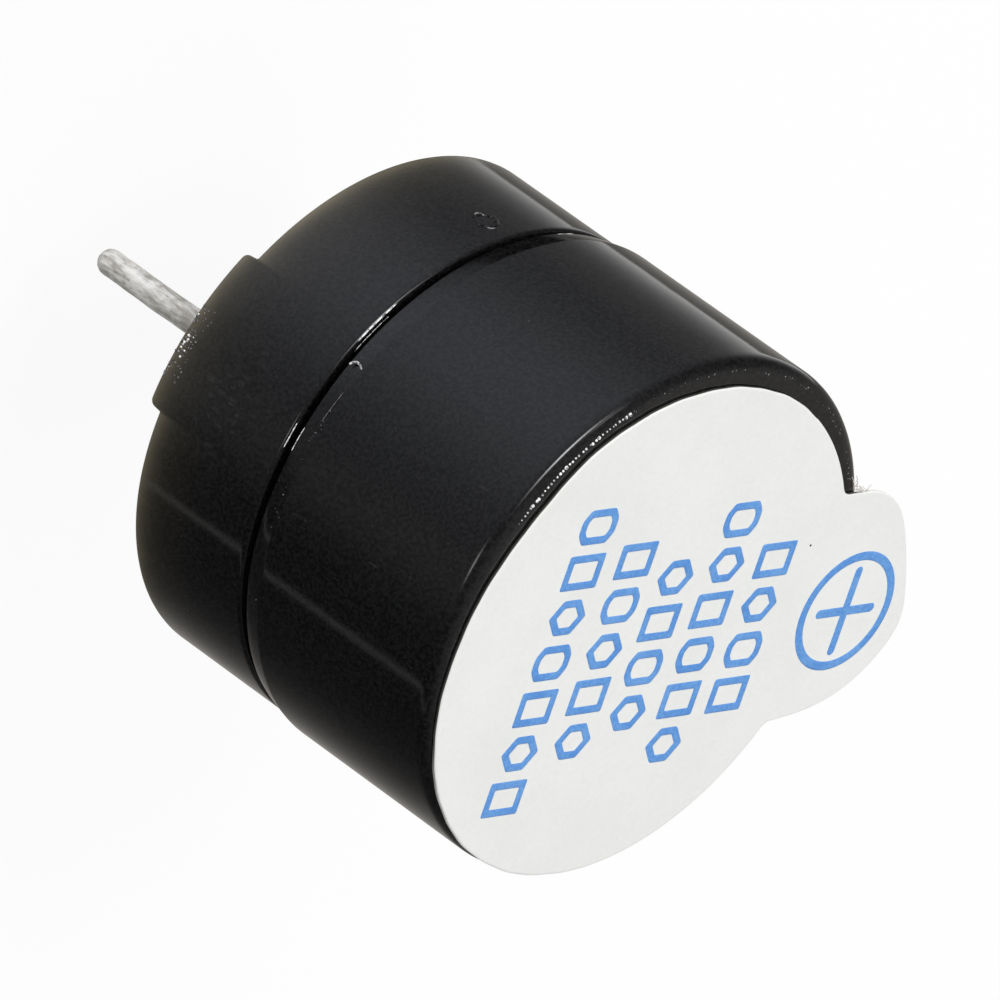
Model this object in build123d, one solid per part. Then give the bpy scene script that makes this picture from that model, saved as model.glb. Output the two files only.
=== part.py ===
from build123d import *
import math
import os

# Round magnetic buzzer with its own drive circuit, for a circuit board with through holes.
# The origin is the middle of the seating plane, between the two pins.
# +Z points up towards the sound hole, the pins go down, and +X points to the positive pin.
# Lengths are in millimetres and turns in degrees.

same = 1e-4  # lengths that differ by less are taken as equal

# Outside of the case
case_radius = 6.0  # front half of the case
rear_step = 0.12  # the rear half is this much smaller in radius
body_height = 9.4  # seating plane to the front face
shoulder_height = 3.62  # seating plane to the shoulder of the rear half
seam_gap = 0.2  # open groove between the two halves
front_edge_round = 0.25
rear_edge_bevel = 0.1
lip_height = 0.4  # bevel round the open end of the front half
lip_step = 0.07
seam_bevel = 0.04  # both edges of the groove

# Feet on the rear rim
foot_height = 0.33
foot_sweep = 36.5
foot_turn = -1.8  # the feet sit a little off the line of the pins
foot_round = 0.12

# Gate mark on the side of the rear half
mark_turn = 120.0
mark_height = 2.9
mark_radius = 0.3
mark_width = 0.12
mark_depth = 0.05

# Walls and fits
skirt_wall = 0.8  # front half, where it slides over the neck of the rear half
front_wall = 1.0
cavity_step = 0.6  # shoulder inside the front half that keeps the diaphragm in
rear_wall = 0.88
neck_wall = 0.75
slip_gap = 0.02  # between round pieces that slide together
sound_hole_radius = 1.15

# Seal label over the front face
label_inset = 0.3  # from the side of the case to the round edge of the label
label_thickness = 0.1
label_shift = (0.04, -0.28)  # it is stuck a little off the middle
tab_turn = 21.0
tab_reach = 2.51  # how far the tab stands out past the label's radius
tab_width = 5.31
tab_middle = -0.24
tab_slope = 0.12  # the lower side of the tab runs inwards at this slope
neck_round = 0.3

# Pins
pin_inset = 1.2  # from the wall of the board's pocket, which puts them 7.6 apart
pin_radius = 0.3
pin_tip_round = 0.18
positive_length = 5.8  # below the seating plane
negative_length = 4.2
pin_shoulder_radius = 0.5
pin_shoulder_depth = 0.15  # below the surface of the resin
pin_head = 0.2  # above the board

# Sealing resin and circuit board
resin_recess = 0.35  # from the rear rim to the surface of the resin
resin_depth = 1.2
board_thickness = 0.6
board_gap = 0.05
board_ledge = 0.5  # width of the ledge that the board's edge rests on
head_room = 0.35  # over the board, for the ends of the pins
hole_gap = 0.05
pad_thickness = 0.05
pin_pad_radius = 0.95
lead_pad_radius = 0.35
solder_height = 0.4
solder_spread = 0.3
wire_cone_height = 0.25
wire_cone_tip = 0.1

# Transistor, in a small three lead case
transistor_place = (0.0, -1.75)
transistor_length = 2.9
transistor_width = 1.3
transistor_height = 0.9
transistor_pitch = 0.95
transistor_span = 2.4  # over the ends of the leads
chip_clearance = 0.03

# Resistor chip
resistor_place = (-0.8, 0.9)
resistor_length = 1.0
resistor_width = 0.5
resistor_height = 0.35
cap_length = 0.25

# Diode, in a small two lead case
diode_place = (1.0, 0.9)
diode_length = 1.2
diode_width = 0.8
diode_height = 0.6
diode_span = 1.9

# Shared sizes of the small parts on the board
chip_draft = 11.0
lead_width = 0.35
lead_thickness = 0.12
lead_run = 0.18  # from the moulded body out to the bend
lead_bite = 0.15  # held inside the moulded body
pad_margin = 0.1  # foil that shows round a foot
wire_stub = 0.15  # end of a coil wire, past the foil

# Magnet system
floor_thickness = 0.4
yoke_thickness = 0.5
magnet_height = 2.0
magnet_wall = 0.95
magnet_chamfer = 0.08
core_radius = 0.95
rivet_radius = 0.6  # thin end of the core, set into the yoke plate
core_gap = 0.3  # from the core's tip to the diaphragm
core_tip_bevel = 0.1
coil_height = 1.8
coil_gap = 0.35  # from the coil to the magnet
drive_turns_share = 0.58  # of the room round the core, the rest goes to the feedback turns
winding_gap = 0.05
wire_radius = 0.05
wire_hole_radius = 0.2
wire_turns = (65.0, 90.0, 115.0)
wire_reach = 0.35  # how far each coil end runs up beside the winding

# Diaphragm
magnet_gap = 0.45  # from the magnet to the diaphragm
diaphragm_thickness = 0.08
diaphragm_gap = 0.05
seat_lip = 0.25
seat_lip_wall = 0.33
hold_gap = 0.05
weight_inset = 1.2  # from the outside of the coil
weight_thickness = 0.25

# Radii that follow
label_radius = case_radius - label_inset
rear_radius = case_radius - rear_step
skirt_radius = case_radius - skirt_wall
cavity_radius = skirt_radius - cavity_step
neck_radius = skirt_radius - slip_gap
bore_radius = neck_radius - neck_wall
pocket_radius = rear_radius - rear_wall
board_radius = pocket_radius - board_gap
room_radius = pocket_radius - board_ledge
magnet_radius = bore_radius - slip_gap
magnet_hole_radius = magnet_radius - magnet_wall
coil_radius = magnet_hole_radius - coil_gap
coil_hole_radius = core_radius + winding_gap
winding_room = coil_radius - winding_gap - coil_hole_radius
drive_radius = coil_hole_radius + drive_turns_share * winding_room
wire_circle = coil_radius + slip_gap + wire_radius
seat_radius = neck_radius - seat_lip_wall
diaphragm_radius = seat_radius - diaphragm_gap
weight_radius = coil_radius - weight_inset

# Leads of the small parts, from the side of the body out
transistor_reach = (transistor_span - transistor_width) / 2
diode_reach = (diode_span - diode_length) / 2

# Heights that follow, from the seating plane up
rim_level = foot_height
resin_level = rim_level + resin_recess
board_level = resin_level + resin_depth
board_top = board_level + board_thickness
pad_level = board_level - pad_thickness
room_top = board_top + head_room
yoke_level = room_top + floor_thickness
magnet_level = yoke_level + yoke_thickness
magnet_top = magnet_level + magnet_height
coil_level = magnet_level + winding_gap
coil_top = coil_level + coil_height
seat_level = magnet_top + magnet_gap
core_top = seat_level - core_gap
neck_top = seat_level + seat_lip
hold_level = neck_top + hold_gap
seam_level = shoulder_height + seam_gap
cavity_top = body_height - front_wall

# From the middle out to each pin
pin_x = pocket_radius - pin_inset


def turned(outline):
    """Closed (radius, height) outline, turned once round Z."""
    profile = Plane.XZ * make_face(Polyline(*outline, close=True))
    return revolve(profile, Axis.Z)


def disc(radius, low, high, x=0.0, y=0.0):
    """Upright cylinder between two heights."""
    blank = Cylinder(radius, high - low, align=(Align.CENTER, Align.CENTER, Align.MIN))
    return Pos(x, y, low) * blank


def ring(outer, inner, low, high, x=0.0, y=0.0):
    """Upright cylinder with a hole right through it."""
    return disc(outer, low, high, x, y) - disc(inner, low, high, x, y)


def block(length, width, low, high, x=0.0, y=0.0):
    """Box between two heights, with its middle over x, y."""
    blank = Box(length, width, high - low, align=(Align.CENTER, Align.CENTER, Align.MIN))
    return Pos(x, y, low) * blank


def rim(shape, radius, level):
    """The round edges of a shape at one radius and one height."""
    return [
        edge
        for edge in shape.edges().filter_by(GeomType.CIRCLE)
        if abs(edge.radius - radius) < same and abs(edge.arc_center.Z - level) < same
    ]


def wire_places():
    """Where the ends of the coil go down, as x, y pairs."""
    return [
        (wire_circle * math.cos(math.radians(turn)), wire_circle * math.sin(math.radians(turn)))
        for turn in wire_turns
    ]


def front_case():
    """Cup that slides over the rear half, with the sound hole in its front wall."""
    cup = turned(
        [
            (skirt_radius, seam_level),
            (case_radius, seam_level),
            (case_radius, body_height),
            (sound_hole_radius, body_height),
            (sound_hole_radius, cavity_top),
            (cavity_radius, cavity_top),
            (cavity_radius, hold_level),
            (skirt_radius, hold_level),
        ]
    )
    cup = fillet(rim(cup, case_radius, body_height), front_edge_round)
    bevel_edge = rim(cup, case_radius, seam_level)
    outer_side = cup.faces().filter_by(GeomType.CYLINDER).sort_by(SortBy.AREA)[-1]
    cup = chamfer(bevel_edge, lip_height, lip_step, reference=outer_side)
    return chamfer(rim(cup, case_radius - lip_step, seam_level), seam_bevel)


def foot():
    """Raised part of the rear rim, centred on +X."""
    profile = Plane.XZ * make_face(
        Polyline(
            (pocket_radius, 0.0),
            (rear_radius, 0.0),
            (rear_radius, rim_level + rear_edge_bevel),
            (pocket_radius, rim_level + rear_edge_bevel),
            close=True,
        )
    )
    pad = Rot(0, 0, -foot_sweep / 2) * revolve(profile, Axis.Z, revolution_arc=foot_sweep)
    ends = pad.edges().filter_by(GeomType.LINE).group_by(Axis.Z)[0]
    return fillet(ends, foot_round)


def gate_mark():
    """Shallow round groove in the side wall, as the cutter that makes it."""
    reach = rear_radius
    groove = Cylinder(mark_radius, reach) - Cylinder(mark_radius - mark_width, reach)
    outward = Rot(0, 0, mark_turn) * Pos(reach / 2 + rear_radius - mark_depth, 0, mark_height)
    return outward * Rot(0, 90, 0) * groove


def rear_case():
    """Ring with a floor between the board's pocket and the magnet's bore."""
    body = turned(
        [
            (pocket_radius, rim_level),
            (rear_radius, rim_level),
            (rear_radius, shoulder_height),
            (neck_radius, shoulder_height),
            (neck_radius, neck_top),
            (seat_radius, neck_top),
            (seat_radius, seat_level),
            (bore_radius, seat_level),
            (bore_radius, yoke_level),
            (0.0, yoke_level),
            (0.0, room_top),
            (room_radius, room_top),
            (room_radius, board_top),
            (pocket_radius, board_top),
        ]
    )
    body = chamfer(rim(body, rear_radius, rim_level), rear_edge_bevel)
    body = chamfer(rim(body, rear_radius, shoulder_height), seam_bevel)
    for turn in (foot_turn, foot_turn + 180):
        body += Rot(0, 0, turn) * foot()
    for x, y in wire_places():
        body -= disc(wire_hole_radius, room_top, yoke_level, x, y)
    return body - gate_mark()


def label_outline():
    """Round label with a soft lobe for the fingers, drawn with the tab along +X."""
    tip = label_radius + tab_reach
    top = tab_middle + tab_width / 2
    bottom = tab_middle - tab_width / 2
    lobe = Spline(
        (tip - 2.4, top),
        (tip - 1.44, top - 0.36),
        (tip - 0.72, top - 1.33),
        (tip - 0.2, top - 2.45),
        (tip, bottom + 1.98),
        (tip - 0.39, bottom + 1.15),
        (tip - 1.33, bottom + 0.37),
        (tip - 2.72, bottom),
        tangents=[(1, 0), (-1, -tab_slope)],
        tangent_scalars=[1.0, 1.0],
    )
    root = label_radius / 2
    inner_low = (lobe @ 1).Y - tab_slope * ((lobe @ 1).X - root)
    sides = Polyline(lobe @ 1, (root, inner_low), (root, top), lobe @ 0)
    # the label's own middle, seen from the turned tab
    shift = Vector(*label_shift).rotate(Axis.Z, -tab_turn)
    flat = make_face(lobe + sides) + Pos(shift.X, shift.Y) * Circle(label_radius)
    necks = [
        corner
        for corner in flat.vertices()
        if abs(math.hypot(corner.X - shift.X, corner.Y - shift.Y) - label_radius) < same
        and corner.X > root
    ]
    return fillet(necks, neck_round)


def seal_label():
    sheet = extrude(label_outline(), label_thickness)
    return Pos(0, 0, body_height) * Rot(0, 0, tab_turn) * sheet


def pin(x, length):
    """Round wire with a shoulder that the resin holds, and its tip rounded."""
    tip = disc(pin_radius, -length, resin_level + pin_shoulder_depth, x)
    tip = fillet(rim(tip, pin_radius, -length), pin_tip_round)
    shoulder = disc(pin_shoulder_radius, resin_level + pin_shoulder_depth, pad_level, x)
    return tip + shoulder + disc(pin_radius, pad_level, board_top + pin_head, x)


def circuit_board():
    board = disc(board_radius, board_level, board_top)
    for x in (pin_x, -pin_x):
        board -= disc(pin_radius + hole_gap, board_level, board_top, x)
    for x, y in wire_places():
        board -= disc(wire_radius + hole_gap, board_level, board_top, x, y)
    return board


def solder_cone(tip_radius, foot_radius, height, x, y=0.0):
    """Cone that stands on the foil and points down."""
    cone = Cone(tip_radius, foot_radius, height, align=(Align.CENTER, Align.CENTER, Align.MIN))
    return Pos(x, y, pad_level - height) * cone


def solder_joints():
    """A cone round each pin's shoulder, and a small one over each end of the coil."""
    joints = []
    for x in (pin_x, -pin_x):
        tip_radius = pin_shoulder_radius + slip_gap
        cone = solder_cone(tip_radius, pin_shoulder_radius + solder_spread, solder_height, x)
        joints.append(cone - disc(pin_shoulder_radius, pad_level - solder_height, pad_level, x))
    for x, y in wire_places():
        cone = solder_cone(wire_cone_tip, lead_pad_radius - pad_margin, wire_cone_height, x, y)
        joints.append(cone - disc(wire_radius, pad_level - wire_stub, pad_level, x, y))
    return joints


def transistor_feet():
    """Where the transistor's leads stand, as x, side pairs."""
    x, _ = transistor_place
    return [(x - transistor_pitch, -1), (x + transistor_pitch, -1), (x, 1)]


def bent_lead(reach, height):
    """One lead from inside a moulded body, whose side is y = 0, to a foot at z = 0."""
    low = -height - lead_thickness / 2
    outline = [
        (-lead_bite, low),
        (lead_run, low),
        (lead_run, -lead_thickness),
        (reach, -lead_thickness),
        (reach, 0.0),
        (lead_run - lead_thickness, 0.0),
        (lead_run - lead_thickness, low + lead_thickness),
        (-lead_bite, low + lead_thickness),
    ]
    side = Plane.YZ * make_face(Polyline(*outline, close=True))
    return Pos(-lead_width / 2, 0, 0) * extrude(side, lead_width, dir=(1, 0, 0))


def transistor_leads():
    y = transistor_place[1]
    lead = bent_lead(transistor_reach, chip_clearance + transistor_height / 2)
    leads = []
    for x, side in transistor_feet():
        turn = 0 if side > 0 else 180
        leads.append(Pos(x, y + side * transistor_width / 2, pad_level) * Rot(0, 0, turn) * lead)
    return leads


def moulded_body(length, width, height, place, leads):
    """Small package with drafted sides, moulded round its leads a clearance below its pads."""
    high = pad_level - chip_clearance
    half = extrude(Rectangle(length, width), height / 2, taper=chip_draft)
    blank = half + mirror(half, Plane.XY)
    return Pos(*place, high - height / 2) * blank - leads


def transistor_body():
    return moulded_body(
        transistor_length,
        transistor_width,
        transistor_height,
        transistor_place,
        transistor_leads(),
    )


def resistor_body():
    high = pad_level - chip_clearance
    length = resistor_length - 2 * cap_length
    return block(length, resistor_width, high - resistor_height, high, *resistor_place)


def resistor_caps():
    """The two plated ends, which reach down to the pads."""
    x, y = resistor_place
    shift = (resistor_length - cap_length) / 2
    low = pad_level - chip_clearance - resistor_height
    return [
        block(cap_length, resistor_width, low, pad_level, x + side * shift, y)
        for side in (-1, 1)
    ]


def diode_body():
    return moulded_body(diode_length, diode_width, diode_height, diode_place, diode_leads())


def diode_leads():
    x, y = diode_place
    lead = bent_lead(diode_reach, chip_clearance + diode_height / 2)
    return [
        Pos(x + side * diode_length / 2, y, pad_level) * Rot(0, 0, -side * 90) * lead
        for side in (-1, 1)
    ]


def foil(length, width, x, y):
    """Pad for a foot of this size."""
    return block(length + 2 * pad_margin, width + 2 * pad_margin, pad_level, board_level, x, y)


def copper_pads():
    """Foil on the rear face of the board, under each joint and each lead."""
    pads = []
    for x in (pin_x, -pin_x):
        pads.append(ring(pin_pad_radius, pin_radius + hole_gap, pad_level, board_level, x))
    for x, y in wire_places():
        pads.append(ring(lead_pad_radius, wire_radius + hole_gap, pad_level, board_level, x, y))
    foot_length = transistor_reach - lead_run
    for x, side in transistor_feet():
        y = transistor_place[1] + side * (transistor_span - foot_length) / 2
        pads.append(foil(lead_width, foot_length, x, y))
    for place, span, foot_length, width in (
        (resistor_place, resistor_length, cap_length, resistor_width),
        (diode_place, diode_span, diode_reach - lead_run, lead_width),
    ):
        for side in (-1, 1):
            x = place[0] + side * (span - foot_length) / 2
            pads.append(foil(foot_length, width, x, place[1]))
    return pads


def sealing_resin(held):
    """Resin poured round everything on the rear face of the board."""
    fill = disc(pocket_radius, resin_level, board_level)
    for piece in held:
        fill -= piece
    # the clearance holes behind the joints stay empty
    for x in (pin_x, -pin_x):
        fill -= disc(pin_radius + hole_gap, pad_level, board_level, x)
    for x, y in wire_places():
        fill -= disc(wire_radius + hole_gap, pad_level, board_level, x, y)
    return fill


def yoke_plate():
    plate = ring(magnet_radius, rivet_radius + slip_gap, yoke_level, magnet_level)
    for x, y in wire_places():
        plate -= disc(wire_hole_radius, yoke_level, magnet_level, x, y)
    return plate


def iron_core():
    """Stepped pole: the thin end goes through the yoke plate."""
    pole = turned(
        [
            (0.0, yoke_level),
            (rivet_radius, yoke_level),
            (rivet_radius, magnet_level),
            (core_radius, magnet_level),
            (core_radius, core_top),
            (0.0, core_top),
        ]
    )
    return chamfer(rim(pole, core_radius, core_top), core_tip_bevel)


def ring_magnet():
    magnet = ring(magnet_radius, magnet_hole_radius, magnet_level, magnet_top)
    edges = rim(magnet, magnet_hole_radius, magnet_top) + rim(magnet, magnet_radius, magnet_top)
    return chamfer(edges, magnet_chamfer)


def coil_leads():
    """Wire ends that run down from beside the coil, through yoke, floor and board."""
    low = pad_level - wire_stub
    return [disc(wire_radius, low, coil_level + wire_reach, x, y) for x, y in wire_places()]


def diaphragm():
    return disc(diaphragm_radius, seat_level, seat_level + diaphragm_thickness)


def diaphragm_weight():
    low = seat_level + diaphragm_thickness
    return disc(weight_radius, low, low + weight_thickness)


def all_pieces():
    """Every piece by its name. A name may stand for several like solids."""
    pieces = {
        "front_case": front_case(),
        "rear_case": rear_case(),
        "seal_label": seal_label(),
        "positive_pin": pin(pin_x, positive_length),
        "negative_pin": pin(-pin_x, negative_length),
        "circuit_board": circuit_board(),
        "yoke_plate": yoke_plate(),
        "iron_core": iron_core(),
        "drive_winding": ring(drive_radius, coil_hole_radius, coil_level, coil_top),
        "feedback_winding": ring(coil_radius, drive_radius + winding_gap, coil_level, coil_top),
        "ring_magnet": ring_magnet(),
        "diaphragm": diaphragm(),
        "diaphragm_weight": diaphragm_weight(),
        "transistor_body": transistor_body(),
        "resistor_body": resistor_body(),
        "diode_body": diode_body(),
    }
    groups = {
        "transistor_leads": transistor_leads(),
        "resistor_caps": resistor_caps(),
        "diode_leads": diode_leads(),
        "copper_pads": copper_pads(),
        "solder_joints": solder_joints(),
        "coil_leads": coil_leads(),
    }
    on_board = ["positive_pin", "negative_pin", "transistor_body", "resistor_body", "diode_body"]
    held = [pieces[name] for name in on_board]
    for solids in groups.values():
        held += solids
    pieces["sealing_resin"] = sealing_resin(held)
    for name, solids in groups.items():
        pieces[name] = Compound(children=solids)
    return pieces


os.makedirs("parts", exist_ok=True)
for name, shape in all_pieces().items():
    export_step(shape, f"parts/{name}.step")
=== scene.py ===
import math

import bmesh
import bpy
import numpy as np
from mathutils import Matrix, Vector


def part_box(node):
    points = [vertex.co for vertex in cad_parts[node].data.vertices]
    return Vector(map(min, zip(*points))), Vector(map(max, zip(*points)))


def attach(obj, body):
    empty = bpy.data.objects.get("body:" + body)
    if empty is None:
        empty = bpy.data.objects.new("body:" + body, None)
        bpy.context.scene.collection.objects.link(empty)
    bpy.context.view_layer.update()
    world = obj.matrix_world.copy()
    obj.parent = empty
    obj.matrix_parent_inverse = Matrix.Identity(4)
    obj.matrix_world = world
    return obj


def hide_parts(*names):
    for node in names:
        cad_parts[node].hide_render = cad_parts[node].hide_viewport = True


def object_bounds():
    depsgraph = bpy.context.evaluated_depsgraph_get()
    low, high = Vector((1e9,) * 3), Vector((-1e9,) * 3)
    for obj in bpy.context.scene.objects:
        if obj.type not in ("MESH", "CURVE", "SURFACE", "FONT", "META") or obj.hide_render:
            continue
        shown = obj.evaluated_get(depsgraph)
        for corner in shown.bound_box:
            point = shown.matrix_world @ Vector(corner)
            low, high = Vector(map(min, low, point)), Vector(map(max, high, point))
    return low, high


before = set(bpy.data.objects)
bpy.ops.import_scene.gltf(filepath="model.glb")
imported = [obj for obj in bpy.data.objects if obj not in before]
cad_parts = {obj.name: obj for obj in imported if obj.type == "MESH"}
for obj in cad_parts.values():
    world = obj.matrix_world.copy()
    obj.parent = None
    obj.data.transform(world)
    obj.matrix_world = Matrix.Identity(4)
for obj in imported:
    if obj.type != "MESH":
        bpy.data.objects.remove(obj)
cad_low, cad_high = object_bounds()

# Round magnetic buzzer. Lengths are in millimetres until a mesh is made, and turns in degrees.
MM = 0.001
rng = np.random.default_rng(12)


def box_mm(node):
    """Lowest and highest corner of a node of the frame, in millimetres."""
    low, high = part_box(node)
    return low / MM, high / MM


# Sizes read from the frame
front_low, front_high = box_mm("front_case")
label_low, label_high = box_mm("seal_label")
board_low, board_high = box_mm("circuit_board")
resin_low, resin_high = box_mm("sealing_resin")
case_radius = front_high.x
front_face = front_high.z
seam_level = front_low.z
neck_top = box_mm("rear_case")[1].z
yoke_level = box_mm("yoke_plate")[0].z
diaphragm_level = box_mm("diaphragm")[0].z
pocket_radius = resin_high.x
ground = cad_low.z / MM

# Sizes of the case that the boxes don't give
rear_step = 0.12
seam_gap = 0.2
lip_height = 0.46
lip_step = 0.1
lip_round = 0.3
edge_round = 0.25
seam_round = 0.04
shoulder_round = 0.09
rim_round = 0.12
skirt_wall = 0.8
front_wall = 1.0
cavity_step = 0.6
sound_hole_radius = 1.15
slip_gap = 0.02
neck_wall = 0.75
seat_wall = 0.33
hold_gap = 0.05
ledge = 0.5
head_room = 0.35

lip_radius = case_radius - lip_step
rear_radius = case_radius - rear_step
shoulder = seam_level - seam_gap
skirt_radius = case_radius - skirt_wall
cavity_radius = skirt_radius - cavity_step
neck_radius = skirt_radius - slip_gap
bore_radius = neck_radius - neck_wall
seat_radius = neck_radius - seat_wall

# Feet on the rear rim
foot_height = 0.33
foot_sweep = 36.5
foot_turn = -1.8
foot_round = 0.12
rim_columns = 700
rim_blend = 0.6

# Round gate mark on the side of the rear half. Its raised ring has its two sides this far from the edge.
gate_turn = 120.0
gate_height = 2.9
gate_radius = 0.29
gate_lift = 0.035
gate_ring = (0.09, 0.03)

# Wear of the front half: beads of flash and small specks on its edge, the beads pale enough to paint
# their glints too, and a rubbed line on its side
flash_and_glint_count = 36
flash_and_glint_turns = (139.5, 172.5)
flash_and_glint_radius = 5.72
flash_and_glint_sizes = (0.027, 0.052)
edge_count = 90
edge_turns = (46.0, 139.0)
edge_radius = 5.735
edge_limits = (5.66, 5.77)
line_count = 16
line_turns = (171.0, 206.0)
line_height = 4.2
stray_specks = ((180.3, 4.155), (180.0, 4.29), (193.1, 3.95), (199.5, 4.3), (198.4, 4.125), (219.0, 4.2))

# Wear of the rear half: specks beside a foot and smudges past the middle of each foot. The brighter
# glints beside the foot are painted highlights, as pale lumps.
speck_count = 84
speck_turns = (173.5, 190.0)
glint_count = 13
glint_turn = 182.3
smudge_turn = 9.17
smudge_height = 1.8

# Pins
pin_radius = 0.3
pin_tip_round = 0.27
pin_shoulder = 0.5
shoulder_depth = 0.15
pin_waver = 0.012
foil = 0.05

# Cut of the label: its gap, and two shallow flats as turn, half width in degrees and depth
cut_gap = 0.012
cut_flats = ((169, 13, 0.1), (188, 28, 0.1))

# Tuft of fibres at the neck of the tab: where it starts, its width, and a point on the neck with its slope
tuft_start = 4.03
tuft_width = 0.36
neck_point = (4.0, 4.18)
neck_slope = 0.2

# Print on the label, in the label's own directions: +X to the tab, +Y to its left
label_turn = 21.0
ink_height = 0.006
ink_stroke = 0.18
ink_bevel = 0.15
sign_place = (6.28, -0.45)
sign_radius = 1.42
sign_stroke = 0.21
sign_arms = (1.8, 2.1)
grit_spot = (4.4, 1.3)

# Rows of plain marks: how far each lies towards the tab, where it starts at the left, and how many marks
# it has
row_middles = (3.4, 1.9, 0.4, -1.05, -2.6)
row_starts = (1.6, 2.7, 1.5, 2.05, 3.0)
row_counts = (4, 6, 4, 5, 7)
mark_pitch = 1.06
mark_half = (0.54, 0.41)


# Meshes

def grid_quads(rows, columns, close_rows=True):
    """Quads between neighbouring points of a grid. Its last column is joined to the first, and so is its
    last row if the rows are closed."""
    index = np.arange(rows * columns).reshape(rows, columns)
    if close_rows:
        index = np.vstack([index, index[:1]])
    index = np.hstack([index, index[:, :1]])
    corners = (index[:-1, :-1], index[1:, :-1], index[1:, 1:], index[:-1, 1:])
    return np.stack(corners, -1).reshape(-1, 4)


def surface(points, close_rows=True):
    """A grid of points, rows by columns by 3, as flat points and the quads between them."""
    rows, columns = points.shape[:2]
    return points.reshape(-1, 3), grid_quads(rows, columns, close_rows)


def piece(name, surfaces, materials):
    """One object from several closed surfaces, each with the number of its material."""
    starts = np.cumsum([0] + [len(points) for points, _, _ in surfaces])
    points = np.concatenate([points for points, _, _ in surfaces]) * MM
    quads = np.concatenate([quads + start for (_, quads, _), start in zip(surfaces, starts)])
    kinds = np.concatenate([np.full(len(quads), kind) for _, quads, kind in surfaces])
    mesh = bpy.data.meshes.new(name)
    mesh.vertices.add(len(points))
    mesh.vertices.foreach_set("co", points.astype(np.float32).ravel())
    mesh.loops.add(quads.size)
    mesh.loops.foreach_set("vertex_index", quads.astype(np.int32).ravel())
    mesh.polygons.add(len(quads))
    mesh.polygons.foreach_set("loop_start", np.arange(0, quads.size, 4, dtype=np.int32))
    mesh.polygons.foreach_set("material_index", kinds.astype(np.int32))
    mesh.update(calc_edges=True)
    welded = bmesh.new()
    welded.from_mesh(mesh)
    bmesh.ops.remove_doubles(welded, verts=welded.verts, dist=1e-8)
    bmesh.ops.dissolve_degenerate(welded, edges=welded.edges, dist=1e-9)
    bmesh.ops.recalc_face_normals(welded, faces=welded.faces)
    welded.to_mesh(mesh)
    welded.free()
    mesh.polygons.foreach_set("use_smooth", np.ones(len(mesh.polygons), bool))
    for look in materials:
        mesh.materials.append(look)
    made = bpy.data.objects.new(name, mesh)
    bpy.context.scene.collection.objects.link(made)
    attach(made, "root")
    return made


def rounded(corners, spacing, steps=5, closed=True):
    """Outline through (radius, height, round) corners. Each corner is an arc that touches both of its
    sides, and each straight run is divided by a cosine law, with its points closer together near the
    arcs."""
    spots = np.array([corner[:2] for corner in corners], float)
    count = len(corners)
    arcs = []
    for k, (x, y, bend) in enumerate(corners):
        here = np.array([x, y])
        if bend <= 0:
            arcs.append(here[None])
            continue
        back = spots[k - 1] - here
        ahead = spots[(k + 1) % count] - here
        back /= np.hypot(*back)
        ahead /= np.hypot(*ahead)
        half = math.acos(np.clip(back @ ahead, -1, 1)) / 2
        reach = bend / math.tan(half)
        middle = here + (back + ahead) / np.hypot(*(back + ahead)) * bend / math.sin(half)
        first = here + back * reach - middle
        last = here + ahead * reach - middle
        share = np.linspace(0, 1, steps + 1)[:, None]
        sweep = math.pi - 2 * half
        arc = (np.sin((1 - share) * sweep) * first + np.sin(share * sweep) * last) / math.sin(sweep)
        arcs.append(middle + arc)
    outline = []
    for k, arc in enumerate(arcs):
        outline.append(arc)
        if k + 1 == count and not closed:
            break
        start = arc[-1]
        end = arcs[(k + 1) % count][0]
        cuts = max(2, math.ceil(np.hypot(*(end - start)) / spacing))
        share = 0.5 - 0.5 * np.cos(np.pi * np.arange(1, cuts) / cuts)
        outline.append(start + share[:, None] * (end - start))
    return np.concatenate(outline)


def lathe(profile, turns):
    """Each (radius, height) point of the profile goes once round Z:
    x is radius times cosine of the turn, y is radius times its sine, z is the height."""
    radius, height = profile.T[:, :, None]
    return np.stack([radius * np.cos(turns), radius * np.sin(turns), height + 0 * turns], -1)


def blobs(centres, sizes):
    """Small lumps: each is a ball scaled by its own three sizes, as rows of latitude and columns of
    longitude."""
    rows, columns = 5, 7
    tilt = np.linspace(-np.pi / 2, np.pi / 2, rows)[:, None]
    turn = np.linspace(0, 2 * np.pi, columns, endpoint=False)
    east, north = np.cos(tilt) * np.cos(turn), np.cos(tilt) * np.sin(turn)
    ball = np.stack([east, north, np.sin(tilt) + 0 * turn], -1)
    lumps = centres[:, None, None, :] + ball * sizes[:, None, None, :]
    quads = grid_quads(rows, columns, close_rows=False)
    offsets = np.arange(len(centres))[:, None, None] * rows * columns
    return lumps.reshape(-1, 3), (quads + offsets).reshape(-1, 4)


def tube(path, radius, sides):
    """A round section carried along a path of points, thinned to nothing at both ends.
    The section lies across the path, between two directions that are square to it."""
    along = np.gradient(path, axis=0)
    along /= np.linalg.norm(along, axis=1)[:, None]
    first = np.cross(along, (0.31, 0.52, 0.79))
    first /= np.linalg.norm(first, axis=1)[:, None]
    second = np.cross(along, first)
    turn = np.linspace(0, 2 * np.pi, sides, endpoint=False)[:, None]
    share = np.linspace(0, 1, len(path))[:, None, None]
    girth = radius * np.sqrt(np.clip(1 - (2 * share - 1) ** 6, 0, 1))
    ring = first[:, None] * np.cos(turn) + second[:, None] * np.sin(turn)
    return surface(path[:, None] + girth * ring, close_rows=False)


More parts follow.
